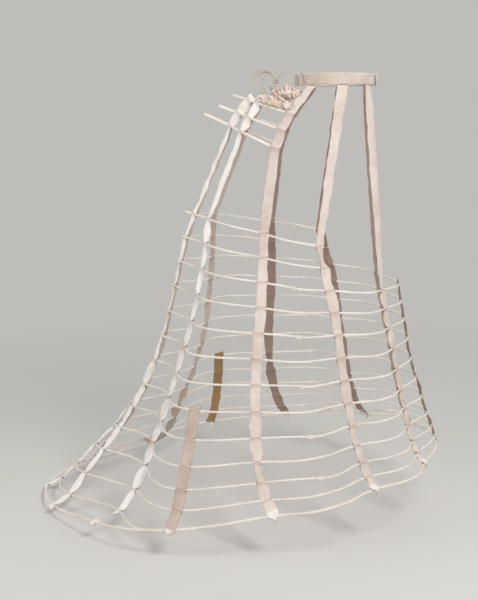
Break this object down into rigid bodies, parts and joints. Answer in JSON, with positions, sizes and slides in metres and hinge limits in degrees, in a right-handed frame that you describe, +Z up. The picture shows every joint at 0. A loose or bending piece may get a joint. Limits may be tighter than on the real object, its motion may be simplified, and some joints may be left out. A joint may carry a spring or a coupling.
{
  "type": "trained crinoline cage",
  "caption": "Bell-shaped underskirt frame of covered steel hoops on cotton tapes, with a bustled and laced upper back and a short train.",
  "frame": {"origin": "centre of the waistband at half its height, where the wearer's waist is", "axes": "+Z up along the wearer; the wearer faces -Y, so +Y runs towards the train, and +X is the wearer's left"},
  "size_m": [0.8897, 1.0034, 1.0563],
  "materials": {
    "covered_steel": "braided cotton over flat steel",
    "tape_cotton": "woven cotton twill, aged",
    "tan_tape": "woven cotton twill, faded tan",
    "waist_cotton": "plain woven cotton, folded and stitched",
    "panel_cotton": "thin plain woven cotton, gathered",
    "cotton_lace": "round braided cotton",
    "cotton_binding": "cotton tape wound tight",
    "clasp_metal": "dull tarnished brass"
  },
  "bodies": {
    "root": {"back_side_tape_left": "tape_cotton", "back_side_tape_right": "tape_cotton", "back_tape": "tape_cotton", "bustle_steel_1": "covered_steel", "bustle_steel_2": "covered_steel", "bustle_steel_3": "covered_steel", "centre_tape_left": "tape_cotton", "centre_tape_right": "tape_cotton", "front_tape": "tape_cotton", "gathered_panel_lower_left": "panel_cotton", "gathered_panel_lower_right": "panel_cotton", "gathered_panel_upper_left": "panel_cotton", "gathered_panel_upper_right": "panel_cotton", "hoop_01": "covered_steel", "hoop_02": "covered_steel", "hoop_03": "covered_steel", "hoop_04": "covered_steel", "hoop_05": "covered_steel", "hoop_06": "covered_steel", "hoop_07": "covered_steel", "hoop_08": "covered_steel", "hoop_09": "covered_steel", "hoop_10": "covered_steel", "hoop_11": "covered_steel", "hoop_12": "covered_steel", "hoop_13": "covered_steel", "hoop_14": "covered_steel", "hoop_clasps": "clasp_metal", "lace_across_lower": "cotton_lace", "lace_across_upper": "cotton_lace", "lace_knot_lower": "cotton_lace", "lace_knot_upper": "cotton_lace", "lace_loop_inner": "cotton_lace", "lace_loop_large": "cotton_lace", "lace_loop_least": "cotton_lace", "lace_loop_middle": "cotton_lace", "lace_loop_small": "cotton_lace", "side_back_tape_left": "tape_cotton", "side_back_tape_right": "tape_cotton", "side_front_tape_left": "tape_cotton", "side_front_tape_right": "tape_cotton", "side_tape_left": "tape_cotton", "side_tape_right": "tape_cotton", "train_hoop_bindings": "cotton_binding", "train_tape_left": "tan_tape", "train_tape_right": "tape_cotton", "waistband": "waist_cotton"}
  },
  "joints": []
}
